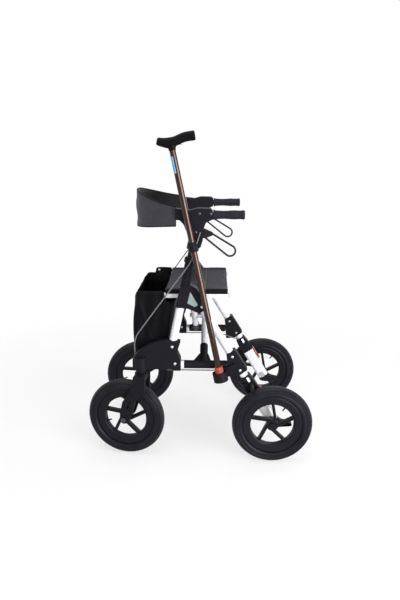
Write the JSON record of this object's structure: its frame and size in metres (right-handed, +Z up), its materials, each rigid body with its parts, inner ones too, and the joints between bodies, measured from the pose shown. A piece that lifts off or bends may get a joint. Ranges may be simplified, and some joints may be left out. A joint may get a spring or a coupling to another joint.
{
  "type": "all terrain rollator",
  "caption": "Four wheeled walking frame with air tyres that folds sideways, with a cloth seat, front bag, back band, hand brakes and a cane in its holder.",
  "frame": {"origin": "on the floor, midway between the front and rear wheel centres and between the side frames", "axes": "+X forward, +Y to the user's left, +Z up"},
  "size_m": [0.8511, 0.596, 1.2014],
  "materials": {
    "silver": "satin silver paint on aluminium tube",
    "moulding": "black glass filled nylon, fine grain",
    "tyre": "dark slate rubber",
    "rim": "black moulded rim",
    "grip": "soft ribbed rubber",
    "wire": "black coated steel wire",
    "cable": "grey cable sleeve",
    "steel": "zinc plated",
    "seat": "dense woven polyester",
    "bag": "black coated nylon",
    "band": "padded knit over foam",
    "reflector": "red reflector",
    "cane": "metallic copper brown anodising",
    "cane_grip": "polished black",
    "ferrule": "red rubber"
  },
  "bodies": {
    "left_frame": {"left_front_leg": "silver", "left_hub": "moulding", "left_rear_leg": "silver", "left_rear_block": "moulding", "left_brake_housing": "moulding", "left_lower_leg": "silver", "left_reflector": "reflector", "left_kerb_pedal": "moulding", "left_lower_rail": "silver", "left_front_arm": "moulding", "left_fasteners": "steel", "left_brake_cable": "cable", "cane_holder": "moulding", "front_bag": "bag"},
    "cross_a": {"cross_tube_a": "silver", "cross_tee_a": "moulding", "right_seat_rail": "silver", "centre_pivot": "steel"},
    "cross_b": {"cross_tube_b": "silver", "cross_tee_b": "moulding", "left_seat_rail": "silver", "seat_sling": "seat"},
    "right_frame": {"right_front_leg": "silver", "right_hub": "moulding", "right_rear_leg": "silver", "right_rear_block": "moulding", "right_brake_housing": "moulding", "right_lower_leg": "silver", "right_reflector": "reflector", "right_kerb_pedal": "moulding", "right_lower_rail": "silver", "right_front_arm": "moulding", "right_fasteners": "steel", "right_brake_cable": "cable"},
    "left_handle": {"left_handle_tube": "silver", "left_handle_head": "moulding", "left_grip": "grip", "back_band": "band"},
    "left_lever": {"left_brake_lever": "wire"},
    "left_shoe": {"left_brake_shoe": "moulding"},
    "left_caster": {"left_caster_fork": "moulding", "left_front_axle": "steel"},
    "left_front_wheel": {"left_front_rim": "rim", "left_front_tyre": "tyre"},
    "left_rear_wheel": {"left_rear_rim": "rim", "left_rear_tyre": "tyre"},
    "right_handle": {"right_handle_tube": "silver", "right_handle_head": "moulding", "right_grip": "grip"},
    "right_lever": {"right_brake_lever": "wire"},
    "right_shoe": {"right_brake_shoe": "moulding"},
    "right_caster": {"right_caster_fork": "moulding", "right_front_axle": "steel"},
    "right_front_wheel": {"right_front_rim": "rim", "right_front_tyre": "tyre"},
    "right_rear_wheel": {"right_rear_rim": "rim", "right_rear_tyre": "tyre"},
    "cane": {"cane_shaft": "cane", "cane_handle": "cane_grip", "cane_ferrule": "ferrule"}
  },
  "joints": [
    {"name": "fold", "type": "hinge", "parent": "left_frame", "child": "cross_a", "pos_m": [0, 0.225, 0.364], "axis": [-1, 0, 0], "range_deg": [0, 36], "deforming": ["front_bag", "seat_sling", "back_band"]},
    {"name": "fold_centre", "type": "hinge", "parent": "cross_a", "child": "cross_b", "pos_m": [0, 0, 0.48819], "axis": [-1, 0, 0], "range_deg": [-72, 0]},
    {"name": "fold_right", "type": "hinge", "parent": "cross_b", "child": "right_frame", "pos_m": [0, -0.225, 0.364], "axis": [-1, 0, 0], "range_deg": [0, 36]},
    {"name": "left_height", "type": "slide", "parent": "left_frame", "child": "left_handle", "axis": [-0.2079, 0, 0.9781], "range_m": [-0.024, 0.1], "deforming": ["left_brake_cable"]},
    {"name": "left_squeeze", "type": "hinge", "parent": "left_handle", "child": "left_lever", "pos_m": [-0.008, 0.225, 0.86], "axis": [0, 1, 0], "range_deg": [0, 20]},
    {"name": "left_brake", "type": "hinge", "parent": "left_frame", "child": "left_shoe", "pos_m": [-0.17359, 0.225, 0.2931], "axis": [0, -1, 0], "range_deg": [0, 12]},
    {"name": "left_swivel", "type": "hinge", "parent": "left_frame", "child": "left_caster", "pos_m": [0.215, 0.233, 0.35], "axis": [0, 0, 1], "continuous": true},
    {"name": "left_front_spin", "type": "hinge", "parent": "left_caster", "child": "left_front_wheel", "pos_m": [0.27606, 0.22223, 0.15], "axis": [0.1736, 0.9848, 0], "continuous": true},
    {"name": "left_rear_spin", "type": "hinge", "parent": "left_frame", "child": "left_rear_wheel", "pos_m": [-0.277, 0.275, 0.15], "axis": [0, 1, 0], "continuous": true},
    {"name": "right_height", "type": "slide", "parent": "right_frame", "child": "right_handle", "axis": [-0.2079, 0, 0.9781], "range_m": [-0.024, 0.1], "deforming": ["right_brake_cable"]},
    {"name": "right_squeeze", "type": "hinge", "parent": "right_handle", "child": "right_lever", "pos_m": [-0.008, -0.225, 0.86], "axis": [0, 1, 0], "range_deg": [0, 20]},
    {"name": "right_brake", "type": "hinge", "parent": "right_frame", "child": "right_shoe", "pos_m": [-0.17359, -0.225, 0.2931], "axis": [0, -1, 0], "range_deg": [0, 12]},
    {"name": "right_swivel", "type": "hinge", "parent": "right_frame", "child": "right_caster", "pos_m": [0.215, -0.233, 0.35], "axis": [0, 0, 1], "continuous": true},
    {"name": "right_front_spin", "type": "hinge", "parent": "right_caster", "child": "right_front_wheel", "pos_m": [0.27606, -0.22223, 0.15], "axis": [-0.1736, 0.9848, 0], "continuous": true},
    {"name": "right_rear_spin", "type": "hinge", "parent": "right_frame", "child": "right_rear_wheel", "pos_m": [-0.277, -0.275, 0.15], "axis": [0, 1, 0], "continuous": true},
    {"name": "cane_lift", "type": "slide", "parent": "left_frame", "child": "cane", "axis": [0.2028, 0, 0.9792], "range_m": [0, 0.05]}
  ],
  "couplings": [
    {"joint": "fold_centre", "follows": "fold", "ratio": -2},
    {"joint": "fold_right", "follows": "fold", "ratio": 1},
    {"joint": "left_brake", "follows": "left_squeeze", "ratio": 0.6},
    {"joint": "right_brake", "follows": "right_squeeze", "ratio": 0.6},
    {"joint": "right_height", "follows": "left_height", "ratio": 1}
  ]
}
